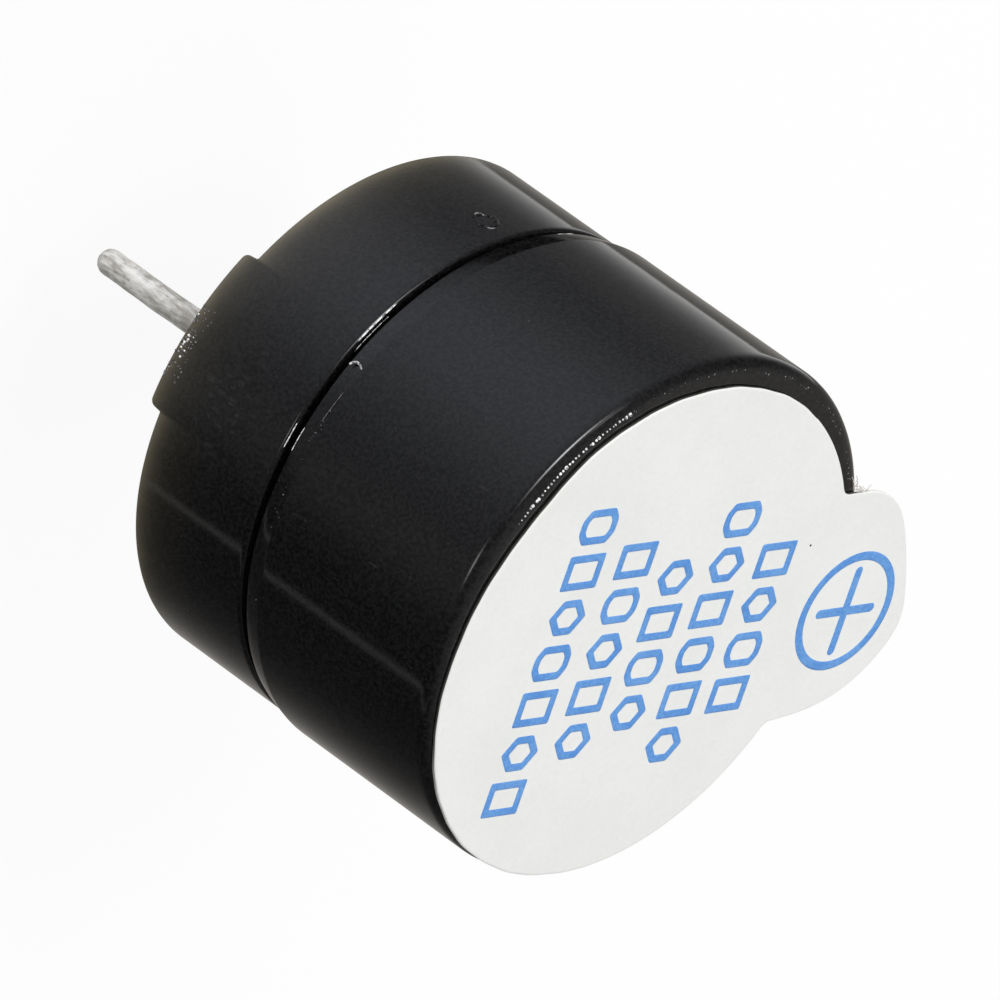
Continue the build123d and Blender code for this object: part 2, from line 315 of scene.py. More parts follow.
def plate(outer, inner, low, high, bevel):
    """Thin closed plate between two outlines with matching points. Its section is a rectangle
    with the two upper corners cut off, and each row is a share of the way from inner to outer."""
    shares = (0.0, 1.0, 1.0, 1.0 - bevel, bevel, 0.0)
    step = (high - low) / 3
    levels = (low, low, high - step, high, high, high - step)
    rows = []
    for share, level in zip(shares, levels):
        flat = inner + share * (outer - inner)
        rows.append(np.column_stack([flat, np.full(len(flat), level)]))
    return surface(np.stack(rows))


# Shaders

class Value:
    """One output of a shader node, which takes part in sums as a number does."""

    def __init__(self, graph, socket):
        self.graph = graph
        self.socket = socket

    def maths(self, operation, first, second=0.0):
        return self.graph.node("ShaderNodeMath", {"operation": operation}, {0: first, 1: second})

    def __add__(self, other):
        return self.maths("ADD", self, other)

    def __radd__(self, other):
        return self.maths("ADD", other, self)

    def __sub__(self, other):
        return self.maths("SUBTRACT", self, other)

    def __rsub__(self, other):
        return self.maths("SUBTRACT", other, self)

    def __mul__(self, other):
        return self.maths("MULTIPLY", self, other)

    def __rmul__(self, other):
        return self.maths("MULTIPLY", other, self)

    def __truediv__(self, other):
        return self.maths("DIVIDE", self, other)

    def __pow__(self, other):
        return self.maths("POWER", self, other)


class Graph:
    """The node tree of a material or of the world."""

    def __init__(self, tree):
        self.tree = tree
        tree.nodes.clear()

    def node(self, kind, settings=None, inputs=None, output=0):
        """Adds a node, sets it, then gives its inputs their values or links, and returns one output."""
        made = self.tree.nodes.new(kind)
        for name, value in (settings or {}).items():
            setattr(made, name, value)
        for name, value in (inputs or {}).items():
            if isinstance(value, Value):
                self.tree.links.new(value.socket, made.inputs[name])
            else:
                made.inputs[name].default_value = value
        return Value(self, made.outputs[output]) if len(made.outputs) else None


def paint(red, green, blue):
    """A colour as it looks on a screen, 0 to 255, as the shader's own numbers."""
    screen = np.array([red, green, blue]) / 255
    light = np.where(screen <= 0.04045, screen / 12.92, ((screen + 0.055) / 1.055) ** 2.4)
    return (*light.tolist(), 1.0)


def noise(graph, at, size, detail):
    """Smooth noise about 0.5 whose grains are this many millimetres wide."""
    settings = {"noise_dimensions": "3D", "noise_type": "FBM"}
    inputs = {"Vector": at, "Scale": 1 / size, "Detail": detail, "Roughness": 0.55}
    return graph.node("ShaderNodeTexNoise", settings, inputs, "Fac")


def grains(graph, at, size):
    """Distance to the nearest of many scattered spots, as a share of their spacing."""
    inputs = {"Vector": at, "Scale": 1 / size, "Randomness": 1.0}
    return graph.node("ShaderNodeTexVoronoi", {"feature": "F1"}, inputs, "Distance")


def band(graph, value, low, high, to_low=0.0, to_high=1.0):
    """The value taken smoothly from one range to another, and held beyond it."""
    settings = {"interpolation_type": "SMOOTHSTEP"}
    inputs = {"Value": value, "From Min": low, "From Max": high, "To Min": to_low, "To Max": to_high}
    return graph.node("ShaderNodeMapRange", settings, inputs)


def blend(graph, share, first, second):
    """Colour between two others."""
    settings = {"data_type": "RGBA", "blend_type": "MIX"}
    return graph.node("ShaderNodeMix", settings, {0: share, 6: first, 7: second}, 2)


def stretched(graph, at, x, y, z):
    """The place with each direction scaled, so that a pattern on it runs along one of them."""
    return graph.node("ShaderNodeVectorMath", {"operation": "MULTIPLY"}, {0: at, 1: (x, y, z)})


def axes(graph, at):
    """The three coordinates of a place, one value each."""
    return [graph.node("ShaderNodeSeparateXYZ", {}, {0: at}, axis) for axis in range(3)]


def bump(graph, height):
    """Surface lifted by a height in millimetres."""
    return graph.node("ShaderNodeBump", {}, {"Height": height, "Distance": MM, "Strength": 1.0})


def material(name, recipe, **options):
    """Principled material. The recipe gets the piece's own coordinates in millimetres and returns what
    goes into the shader's sockets."""
    made = bpy.data.materials.new(name)
    made.use_nodes = True
    graph = Graph(made.node_tree)
    place = graph.node("ShaderNodeTexCoord", output="Object")
    at = graph.node("ShaderNodeVectorMath", {"operation": "SCALE"}, {0: place, "Scale": 1 / MM})
    shader = graph.node("ShaderNodeBsdfPrincipled", {}, recipe(graph, at, **options))
    graph.node("ShaderNodeOutputMaterial", {}, {"Surface": shader})
    return made


def exponent(value):
    """e to the power of the value."""
    return value.maths("EXPONENT", value)


def black_plastic(graph, at, worn=False):
    """Black moulded plastic: flow marks in the gloss, fine mottled grain, sparse dust and a few dull
    scuffs. If worn is set, a warm pale painted sheen of reflected light thickens
    towards the outer edge of the rim and the feet: the sum of two powers of e, each to minus the
    distance above the edge over its own reach. Faint smudges lie above each foot, under a bell curve of
    the turn and the height."""
    flow = noise(graph, stretched(graph, at, 1.0, 1.0, 0.4), 1.6, 3.0)
    grain = noise(graph, at, 0.06, 2.0)
    where = noise(graph, at, 1.1, 2.0)
    dust = band(graph, noise(graph, at, 0.05, 2.0) + 0.4 * where, 0.96, 1.05)
    scratch = noise(graph, stretched(graph, at, 1.0, 1.0, 0.25), 0.12, 3.0)
    scuff = band(graph, scratch + 0.5 * where, 0.98, 1.1)
    pale = dust.maths("MAXIMUM", dust, 0.2 * scuff)
    if worn:
        x, y, z = axes(graph, at)
        turn = y.maths("ARCTAN2", y, x) - math.radians(foot_turn)
        from_foot = turn.maths("PINGPONG", turn, math.pi / 2)
        past = turn - math.radians(smudge_turn)
        from_smudge = past.maths("PINGPONG", past, math.pi / 2)
        patch = exponent(-1.0 * (from_smudge / 0.19) ** 2.0 - ((z - smudge_height) / 0.6) ** 2.0)
        rub = band(graph, noise(graph, stretched(graph, at, 1.0, 1.0, 0.5), 0.13, 3.0), 0.52, 0.72)
        pale = pale.maths("MAXIMUM", pale, 0.24 * patch * rub)
    mottle = band(graph, noise(graph, at, 0.08, 3.0), 0.36, 0.64)
    plain = blend(graph, mottle, (0.0022, 0.0022, 0.0024, 1.0), (0.0088, 0.0088, 0.0094, 1.0))
    colour = blend(graph, pale, plain, (0.075, 0.075, 0.08, 1.0))
    roughness = 0.05 + 0.04 * flow + 0.35 * pale + 0.02 * grain
    height = 0.0005 * grain + 0.004 * noise(graph, at, 1.2, 1.0) + 0.003 * dust
    if worn:
        # Painted reflection: a warm pale sheen put into the colour, thickest at the outer edge of the rim
        # and the feet.
        half = math.radians(foot_sweep / 2)
        edge = band(graph, from_foot, half - 0.01, half + 0.01, 0.0, foot_height)
        below = edge - z
        away = (x * x + y * y) ** 0.5
        outer = band(graph, away, rear_radius - 0.4, rear_radius - 0.05, 0.1, 1.0)
        fall = 0.8 * exponent(below / 0.15) + 0.2 * exponent(below / 0.6)
        painted_rim_sheen = fall * (0.7 + 0.6 * where) * outer
        colour = blend(graph, painted_rim_sheen, colour, (0.21, 0.185, 0.13, 1.0))
        roughness = roughness + 0.25 * painted_rim_sheen
    return {"Base Color": colour, "Roughness": roughness, "Normal": bump(graph, height), "IOR": 1.5}


def torn_plastic(graph, at, dark=(90, 90, 92), light=(254, 254, 254)):
    """Pale stressed plastic of flash and nicks, also used for lumps and threads that paint glints. Each
    speck has its own tone.
    """
    shade = band(graph, noise(graph, at, 0.09, 2.0), 0.32, 0.58)
    colour = blend(graph, shade, paint(*dark), paint(*light))
    height = 0.004 * noise(graph, at, 0.02, 1.0)
    return {"Base Color": colour, "Roughness": 0.3 + 0.2 * shade, "Normal": bump(graph, height)}


def label_film(graph, at, top):
    """White coated paper film: cloudy tone and fine paper grain. Where it lies on the case, its cut side
    is grey, both as a glue layer and as painted shade along the label's edge."""
    cloud = noise(graph, at, 2.6, 3.0)
    grain = noise(graph, at, 0.09, 3.0)
    tone = 0.55 * cloud + 0.45 * grain
    white = blend(graph, band(graph, tone, 0.3, 0.7), paint(229, 230, 227), paint(236, 237, 235))
    x, y, z = axes(graph, at)
    upper = band(graph, z, top - 0.04, top - 0.02)
    free = band(graph, (x * x + y * y) ** 0.5, case_radius - 0.2, case_radius)
    # Glue and painted shade: the cut side is grey below its top, except where the tab is free of the case.
    colour = blend(graph, upper.maths("MAXIMUM", upper, free), paint(70, 68, 64), white)
    height = 0.0022 * grain + 0.006 * noise(graph, at, 0.9, 2.0)
    roughness = 0.42 + 0.12 * grain
    return {"Base Color": colour, "Roughness": roughness, "Normal": bump(graph, height)}


def blue_ink(graph, at):
    """Blue printing ink, a little thin and speckled, on the label's grain."""
    grain = noise(graph, at, 0.07, 3.0)
    cloud = noise(graph, at, 0.8, 2.0)
    thin = band(graph, 0.6 * grain + 0.4 * cloud, 0.36, 0.7)
    colour = blend(graph, thin, paint(80, 140, 212), paint(112, 166, 226))
    height = 0.002 * grain
    return {"Base Color": colour, "Roughness": 0.4 + 0.1 * grain, "Normal": bump(graph, height)}


def tinned_wire(graph, at):
    """Dull tinned steel wire: long drawing streaks, soft dull patches and small pits."""
    streak = noise(graph, stretched(graph, at, 1.0, 1.0, 0.15), 0.05, 3.0)
    patch = noise(graph, stretched(graph, at, 1.0, 1.0, 0.45), 0.22, 3.0)
    pit = band(graph, grains(graph, stretched(graph, at, 1.0, 1.0, 0.4), 0.11), 0.22, 0.12)
    tone = band(graph, 0.35 * streak + 0.65 * patch - 0.08 * pit, 0.34, 0.62)
    colour = blend(graph, tone, paint(178, 173, 164), paint(254, 252, 248))
    height = 0.008 * streak + 0.025 * patch - 0.006 * pit
    roughness = 0.3 + 0.2 * patch + 0.15 * pit
    return {"Base Color": colour, "Metallic": 0.4, "Roughness": roughness, "Normal": bump(graph, height)}


def poured_resin(graph, at):
    """Black poured resin: slow waves from setting, a few tiny bubbles, dust."""
    wave = noise(graph, at, 2.2, 2.0)
    bubble = band(graph, grains(graph, at, 0.9), 0.09, 0.05)
    fine = noise(graph, at, 0.12, 2.0)
    colour = blend(graph, fine, (0.008, 0.008, 0.009, 1.0), (0.02, 0.02, 0.022, 1.0))
    height = 0.09 * wave + 0.001 * fine - 0.03 * bubble
    return {"Base Color": colour, "Roughness": 0.22 + 0.15 * fine, "Normal": bump(graph, height)}


def grained(graph, at, dark, light, size, rough, metal=0.0, relief=0.002, run=(1.0, 1.0, 1.0)):
    """Plain engineering finish: a tone that wanders between two colours, with its grain as relief.
    The grain is this many millimetres wide, and runs long where a share in run is small."""
    grain = noise(graph, stretched(graph, at, *run), size, 3.0)
    cloud = noise(graph, at, size * 7, 2.0)
    tone = band(graph, 0.5 * grain + 0.5 * cloud, 0.3, 0.7)
    return {
        "Base Color": blend(graph, tone, paint(*dark), paint(*light)),
        "Metallic": metal,
        "Roughness": rough + 0.12 * grain,
        "Normal": bump(graph, relief * grain),
    }


def laminate(graph, at):
    """Woven glass laminate: the two thread directions as crossed waves under a tan resin."""
    weave = []
    inputs = {"Vector": at, "Scale": 0.9, "Distortion": 0.6}
    for direction in ("X", "Y"):
        settings = {"wave_type": "BANDS", "bands_direction": direction}
        weave.append(graph.node("ShaderNodeTexWave", settings, inputs, 1))
    cross = weave[0] * weave[1]
    colour = blend(graph, cross, paint(172, 148, 92), paint(202, 180, 124))
    return {"Base Color": colour, "Roughness": 0.4 + 0.15 * cross, "Normal": bump(graph, 0.004 * cross)}


def finish(name, dark, light, size, rough, **more):
    """Grained material from its darkest and lightest tone, the width of its grain and its roughness."""
    return material(name, grained, dark=dark, light=light, size=size, rough=rough, **more)


plastic = material("black_plastic", black_plastic)
# Plastic of the rear half, with a painted warm sheen of reflected light at its rim and feet, and faint
# smudges above the feet.
worn_plastic = material("worn_plastic", black_plastic, worn=True)
# Pale plastic of flash and torn bits, which also paints the glints on the case.
torn = material("torn_plastic", torn_plastic)
rubbed = material("rubbed_plastic", torn_plastic, dark=(34, 34, 35), light=(132, 132, 136))
film = material("label_film", label_film, top=label_high.z)
fibre = finish("paper_fibre", (172, 160, 152), (240, 236, 232), 0.05, 0.6)
ink = material("blue_ink", blue_ink)
tin = material("tinned_wire", tinned_wire)

# Finishes of the pieces inside. The grain of enamelled wire runs round its coil, that of the drawn core
# along its height and that of rolled steel along Y.
enamel = dict(metal=0.9, relief=0.02, run=(0.15, 0.15, 1.0))
iron = ((118, 118, 120), (160, 160, 162), 0.12, 0.32)
drawn_iron = dict(metal=1.0, run=(1.0, 1.0, 0.2))
rolled_steel = dict(metal=1.0, run=(1.0, 0.08, 1.0))
inner_finishes = {
    "sealing_resin": material("poured_resin", poured_resin),
    "circuit_board": material("board_laminate", laminate),
    "copper_pads": finish("copper_foil", (176, 104, 66), (216, 142, 98), 0.08, 0.28, metal=1.0),
    "solder_joints": finish("solder", (150, 150, 152), (214, 214, 214), 0.1, 0.2, metal=1.0),
    "transistor_body": finish("transistor_mould", (26, 26, 27), (40, 40, 41), 0.05, 0.5, relief=0.003),
    "diode_body": finish("diode_mould", (30, 29, 29), (44, 43, 43), 0.05, 0.45, relief=0.003),
    "resistor_body": finish("resistor_ceramic", (196, 196, 190), (226, 226, 220), 0.04, 0.35),
    "transistor_leads": finish("transistor_tin", (160, 160, 162), (205, 205, 206), 0.05, 0.3, metal=1.0),
    "diode_leads": finish("diode_tin", (166, 165, 162), (208, 207, 204), 0.05, 0.3, metal=1.0),
    "resistor_caps": finish("cap_tin", (170, 170, 170), (212, 212, 212), 0.04, 0.28, metal=1.0),
    "yoke_plate": finish("yoke_iron", *iron, metal=1.0),
    "iron_core": finish("core_iron", *iron, **drawn_iron),
    "drive_winding": finish("drive_enamel", (120, 52, 22), (186, 98, 46), 0.06, 0.3, **enamel),
    "feedback_winding": finish("feedback_enamel", (128, 44, 20), (196, 88, 40), 0.06, 0.3, **enamel),
    "coil_leads": finish("lead_enamel", (150, 64, 28), (200, 104, 54), 0.05, 0.3, metal=0.9),
    "ring_magnet": finish("bonded_ferrite", (62, 62, 64), (92, 92, 95), 0.09, 0.55, relief=0.004),
    "diaphragm": finish("spring_steel", (150, 150, 150), (188, 188, 188), 0.06, 0.25, **rolled_steel),
    "diaphragm_weight": finish("weight_iron", (126, 126, 128), (176, 176, 178), 0.08, 0.35, metal=1.0),
}
for node, inner_finish in inner_finishes.items():
    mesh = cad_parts[node].data
    mesh.materials.clear()
    mesh.materials.append(inner_finish)


# Case

# Numbers of the materials of a case piece. BRIGHT is pale plastic, for flash and for painted glints.
MOULDED, BRIGHT, DULL = 0, 1, 2


def scatter(turns, heights, radius, sizes):
    """Lumps on a round wall, from turns in degrees, heights, radii and sizes."""
    angle = np.radians(turns)
    centres = np.column_stack([radius * np.cos(angle), radius * np.sin(angle), heights + 0 * angle])
    return blobs(centres, sizes[:, None] * np.ones(3))


def wall_thread(bends, radius, girth):
    """A thread on a round wall, used for torn burrs and for pale lines that paint glints. It leaves the
    first (turn, height) for the last and is drawn to the middle one by the second-degree blend of the
    three."""
    share = np.linspace(0, 1, 16)[:, None]
    first, middle, last = np.array(bends, float)
    course = (1 - share) ** 2 * first + 2 * share * (1 - share) * middle + share**2 * last
    angle = np.radians(course[:, 0])
    path = np.column_stack([radius * np.cos(angle), radius * np.sin(angle), course[:, 1]])
    return tube(path, girth, sides=7)


def front_wear_and_glints():
    """Wear and painted glints of the front half. Beads of flash stand in a row along its edge, pale enough
    to paint their glints too, with small specks further on, and a rubbed line of specks runs along its
    side. A hook of torn plastic stands on the side, and two pale threads lie at the seam, which are
    painted highlights on the edges of the lip."""
    # Beads of flash in pale plastic, whose colour also paints their glints.
    bead_turns = np.linspace(*flash_and_glint_turns, flash_and_glint_count) + rng.normal(0, 0.14, flash_and_glint_count)
    bead_radius = flash_and_glint_radius + rng.normal(0, 0.007, flash_and_glint_count)
    swell = 0.8 + 0.2 * np.sin(np.radians(bead_turns * 37))
    beads = scatter(bead_turns, front_face, bead_radius, rng.uniform(*flash_and_glint_sizes, flash_and_glint_count) * swell)
    speck_turns = rng.uniform(*edge_turns, edge_count)
    speck_radius = rng.normal(edge_radius, 0.03, edge_count).clip(*edge_limits)
    specks = scatter(speck_turns, front_face, speck_radius, 0.005 + 0.014 * rng.random(edge_count) ** 2)
    stray_turns, stray_heights = np.array(stray_specks).T
    spot_turns = np.append(rng.uniform(*line_turns, line_count), stray_turns)
    spot_heights = np.append(rng.normal(line_height, 0.02, line_count), stray_heights)
    spot_sizes = rng.uniform(0.006, 0.014, len(spot_turns))
    spots = scatter(spot_turns, spot_heights, case_radius - 0.004, spot_sizes)
    rubbed_line = wall_thread([(171.5, 4.225), (175.0, 4.21), (179.0, 4.18)], case_radius - 0.001, 0.005)
    hook = wall_thread([(166.6, 3.9), (164.3, 3.98), (166.0, 4.23)], case_radius - 0.01, 0.028)
    surfaces = [(*beads, BRIGHT), (*specks, DULL), (*spots, DULL), (*rubbed_line, DULL), (*hook, BRIGHT)]
    # Painted highlights: pale threads at the seam, along the edges of the lip.
    for bends, girth in (
        ([(181.3, 0.03), (184.0, 0.012), (187.2, 0.02)], 0.014),
        ([(103.0, 0.02), (105.5, 0.01), (109.0, 0.03)], 0.011),
    ):
        thread = wall_thread(np.array(bends) + (0.0, seam_level), lip_radius - 0.004, girth)
        surfaces.append((*thread, BRIGHT))
    return surfaces


def front_case():
    """Cup of the front half, one closed profile turned round Z, and its wear and painted glints."""
    profile = rounded(
        [
            (skirt_radius, seam_level, seam_round),
            (lip_radius, seam_level, seam_round),
            (case_radius, seam_level + lip_height, lip_round),
            (case_radius, front_face, edge_round),
            (sound_hole_radius, front_face, 0.05),
            (sound_hole_radius, front_face - front_wall, 0.03),
            (cavity_radius, front_face - front_wall, 0.05),
            (cavity_radius, neck_top + hold_gap, 0.03),
            (skirt_radius, neck_top + hold_gap, 0.05),
        ],
        spacing=0.45,
    )
    turns = np.linspace(0, 2 * np.pi, 540, endpoint=False)
    body = surface(lathe(profile, turns))
    surfaces = [(*body, MOULDED)] + front_wear_and_glints()
    made = piece("front_case_shell", surfaces, [plastic, torn, rubbed])
    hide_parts("front_case")


def foot_path(samples):
    """The rear rim unrolled: turn and drop below the rim's level along it. A rounded outline goes down
    and up at each end of the two feet, and is read at even steps of its length."""
    corners = []
    for middle in (foot_turn, foot_turn + 180):
        ends = np.radians([middle - foot_sweep / 2, middle + foot_sweep / 2]) * rear_radius
        corners += [(ends[0], 0.0, 0.04), (ends[0], -foot_height, foot_round)]
        corners += [(ends[1], -foot_height, foot_round), (ends[1], 0.0, 0.04)]
    start = corners[0][0] - 2.0
    corners = [(start, 0.0, 0.0)] + corners + [(start + 2 * np.pi * rear_radius, 0.0, 0.0)]
    outline = rounded(corners, spacing=0.25, steps=8, closed=False)
    steps = np.concatenate([[0], np.cumsum(np.hypot(*np.diff(outline, axis=0).T))])
    even = np.linspace(0, steps[-1], samples, endpoint=False)
    turn = np.interp(even, steps, outline[:, 0]) / rear_radius
    drop = -np.interp(even, steps, outline[:, 1])
    return turn, drop


def gate_mark():
    """Low disc with a raised ring, in polar steps about its middle. Its lift over the wall follows a
    rounded profile of the distance from the middle, and the disc bends round with the wall."""
    inside, outside = (gate_radius - gap for gap in gate_ring)
    profile = rounded(
        [
            (0.0, -0.05, 0.0),
            (gate_radius, -0.05, 0.0),
            (gate_radius, 0.002, 0.01),
            (outside + 0.012, 0.004, 0.01),
            (outside, gate_lift, 0.01),
            (inside, gate_lift, 0.01),
            (inside - 0.012, 0.004, 0.01),
            (0.07, 0.004, 0.01),
            (0.05, 0.012, 0.01),
            (0.0, 0.012, 0.0),
        ],
        spacing=0.05,
        steps=4,
        closed=False,
    )
    turns = np.linspace(0, 2 * np.pi, 72, endpoint=False)
    away, lift = profile.T[:, :, None]
    angle = math.radians(gate_turn) + away * np.cos(turns) / rear_radius
    radius = rear_radius + lift
    height = gate_height + away * np.sin(turns)
    points = np.stack([radius * np.cos(angle), radius * np.sin(angle), height], -1)
    return surface(points, close_rows=False)


def rear_body():
    """Shape of the rear half: one profile turned round Z, with two feet let down from its rim. Near the
    rim the columns follow the unrolled foot outline. Higher up they keep only the running mean of their
    distance from even spacing."""
    rim = foot_height
    room_top = board_high.z + head_room
    profile = rounded(
        [
            (0.0, yoke_level, 0.0),
            (bore_radius, yoke_level, 0.04),
            (bore_radius, diaphragm_level, 0.03),
            (seat_radius, diaphragm_level, 0.03),
            (seat_radius, neck_top, 0.03),
            (neck_radius, neck_top, 0.05),
            (neck_radius, shoulder, 0.03),
            (rear_radius, shoulder, shoulder_round),
            (rear_radius, rim, rim_round),
            (pocket_radius, rim, 0.05),
            (pocket_radius, board_high.z, 0.03),
            (pocket_radius - ledge, board_high.z, 0.03),
            (pocket_radius - ledge, room_top, 0.03),
            (0.0, room_top, 0.0),
        ],
        spacing=0.3,
        steps=4,
        closed=False,
    )
    turn, drop = foot_path(rim_columns)
    slack = turn - np.linspace(turn[0], turn[0] + 2 * np.pi, rim_columns, endpoint=False)
    side = 16
    window = np.ones(2 * side + 1) / (2 * side + 1)
    padded = np.concatenate([slack[-side:], slack, slack[:side]])
    even = turn - slack + np.convolve(padded, window, "valid")
    radius, height = profile.T[:, :, None]
    reach = np.clip((rim + rim_blend - height) / rim_blend, 0, 1) * (radius > pocket_radius - 0.01)
    angle = even + reach * (turn - even)
    level = height - reach * drop
    points = np.stack([radius * np.cos(angle), radius * np.sin(angle), level], -1)
    return surface(points, close_rows=False)


def rear_wear_and_glints():
    """Wear and painted glints of the rear half: specks beside a foot, with pale glints there that are
    painted highlights, pale threads on its shoulder that are painted highlights on its edge, and torn bits
    round the gate mark."""
    turns = rng.uniform(*speck_turns, speck_count)
    heights = 0.07 + 0.4 * rng.random(speck_count) ** 1.6
    specks = scatter(turns, heights, rear_radius - 0.003, 0.009 + 0.016 * rng.random(speck_count))
    # Painted highlights: pale lumps that stand for glints beside the foot.
    turns = rng.normal(glint_turn, 3.4, glint_count)
    heights = rng.uniform(0.08, 0.3, glint_count)
    glints = scatter(turns, heights, rear_radius - 0.002, rng.uniform(0.016, 0.032, glint_count))
    surfaces = [(*specks, DULL), (*glints, BRIGHT)]
    # Painted highlights: pale threads along the edge of the shoulder.
    for bends, inset, girth in (
        ([(150.3, -0.012), (156.0, -0.005), (161.8, -0.014)], 0.016, 0.017),
        ([(153.0, 0.0), (158.0, 0.0), (163.5, 0.0)], 0.14, 0.011),
        ([(181.8, -0.02), (184.5, -0.01), (187.6, -0.02)], 0.012, 0.011),
    ):
        thread = wall_thread(np.array(bends) + (0.0, shoulder), rear_radius - inset, girth)
        surfaces.append((*thread, BRIGHT))
    for bends, lift, girth in (
        ([(0.9, -0.22), (-0.3, -0.38), (-1.0, -0.14)], 0.015, 0.024),
        ([(-2.3, -0.06), (-2.25, 0.04), (-1.8, 0.08)], 0.015, 0.02),
        ([(2.05, 0.01), (2.0, 0.32), (0.0, 0.32)], 0.005, 0.016),
    ):
        bit = wall_thread(np.array(bends) + (gate_turn, gate_height), rear_radius + lift, girth)
        surfaces.append((*bit, DULL))
    return surfaces


def rear_case():
    """Rear half with its feet, the gate mark on its side, and its wear and painted glints."""
    surfaces = [(*rear_body(), MOULDED), (*gate_mark(), MOULDED)] + rear_wear_and_glints()
    made = piece("rear_case_shell", surfaces, [worn_plastic, torn, rubbed])
    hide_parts("rear_case")


def pin(node, name):
    """Wire with a rounded tip, turned round its own line. Below the resin its radius wavers by slow sines
    of turn and height."""
    low, high = box_mm(node)
    shoulder_low = resin_low.z + shoulder_depth
    pad = board_low.z - foil
    profile = rounded(
        [
            (0.0, low.z, 0.0),
            (pin_radius, low.z, pin_tip_round),
            (pin_radius, shoulder_low, 0.0),
            (pin_shoulder, shoulder_low, 0.02),
            (pin_shoulder, pad, 0.02),
            (pin_radius, pad, 0.0),
            (pin_radius, high.z, 0.03),
            (0.0, high.z, 0.0),
        ],
        spacing=0.07,
        closed=False,
    )
    turns = np.linspace(0, 2 * np.pi, 72, endpoint=False)
    radius, height = profile.T[:, :, None]
    sway = np.sin(3 * turns + 2.1 * height) + np.sin(5 * turns - 3.7 * height + 1.3) + np.sin(7.3 * height)
    open_part = np.clip((shoulder_low - height) / 0.3, 0, 1)
    radius = radius * (1 - open_part * pin_waver * (3 - sway))
    shape = np.stack([radius * np.cos(turns), radius * np.sin(turns), height + 0 * turns], -1)
    shape[..., 0] += (low.x + high.x) / 2
    made = piece(name, [(*surface(shape, close_rows=False), 0)], [tin])
    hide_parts(node)


# Label

def label_sheet():
    """Thin sheet cut a little unevenly. Its outline is the radius of the label for each turn, less a small
    gap, two shallow flats, each a bell curve of the turn, and a ripple of two sines on the side away from
    the tab. Its edges are slightly rounded."""
    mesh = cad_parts["seal_label"].data
    spots = np.empty(3 * len(mesh.vertices))
    mesh.vertices.foreach_get("co", spots)
    spots = spots.reshape(-1, 3) / MM
    rim = spots[spots[:, 2] > label_high.z - 0.01]
    rim_turns = np.arctan2(rim[:, 1], rim[:, 0])
    rim_reach = np.hypot(rim[:, 0], rim[:, 1])
    order = np.lexsort((rim_reach, rim_turns))
    turns = np.linspace(-np.pi, np.pi, 1440, endpoint=False)
    reach = np.interp(turns, rim_turns[order], rim_reach[order], period=2 * np.pi)
    degrees = np.degrees(turns) % 360
    flat = sum(depth * np.exp(-(((degrees - middle) / width) ** 2)) for middle, width, depth in cut_flats)
    ripple = 0.006 * np.sin(17 * turns + 1.0) + 0.004 * np.sin(41 * turns)
    reach = reach - flat - cut_gap + ripple * (degrees > 75) * (degrees < 300)
    shares = np.array([0.0, 1.0, 1.0, 1.0, 1.0, 1.0, 1.0, 1.0, 0.0])[:, None]
    inset = np.array([0.0, 0.04, 0.012, 0.0, 0.0, 0.012, 0.04, 0.06, 0.0])[:, None]
    low, high = label_low.z, label_high.z
    levels = np.array([low, low, low, low + 0.01, high - 0.02, high - 0.005, high, high, high])[:, None]
    radius = shares * reach - inset
    points = np.stack([radius * np.cos(turns), radius * np.sin(turns), levels + 0 * radius], -1)
    made = piece("label_sheet", [(*surface(points, close_rows=False), 0)], [film])
    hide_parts("seal_label")


def on_label(points):
    """Points in the label's own directions, turned to where the tab points."""
    angle = math.radians(label_turn)
    return points @ np.array([[math.cos(angle), math.sin(angle)], [-math.sin(angle), math.cos(angle)]])


def polygon(sides, inset=0.0, power=26):
    """Convex outline from its sides, each a direction in degrees and a distance from the middle.
    The radius in a direction is one over the power mean of cosine to each side over its distance,
    which gives straight sides with small round corners."""
    turn = np.linspace(0, 2 * np.pi, 96, endpoint=False)
    way, far = np.array(sides, float).T[:, :, None]
    lean = np.clip(np.cos(turn - np.radians(way)) / (far - inset), 0, None)
    radius = (lean**power).sum(0) ** (-1 / power)
    return np.column_stack([radius * np.cos(turn), radius * np.sin(turn)])


def stadium(length, width, turn):
    """Outline of a bar with round ends, and its middle line: a circle whose two halves are moved apart
    along one direction, and the two middles of those halves."""
    angle = np.linspace(0, 2 * np.pi, 64, endpoint=False)
    shift = (length - width) / 2 * np.sign(np.cos(angle) + 1e-9)
    x = width / 2 * np.cos(angle) + shift
    y = width / 2 * np.sin(angle)
    core = np.column_stack([shift, 0 * y])
    way = math.radians(turn)
    spin = np.array([[math.cos(way), math.sin(way)], [-math.sin(way), math.cos(way)]])
    return np.column_stack([x, y]) @ spin, core @ spin


def ink_plate(outer, inner, lift=0.0):
    """Thin plate of ink between two outlines in the label's own directions. It is sunk into the label as
    deep as it stands proud of it, apart from an added lift."""
    low, high = label_high.z - ink_height, label_high.z + ink_height + lift
    return (*plate(on_label(outer), on_label(inner), low, high, ink_bevel), 0)


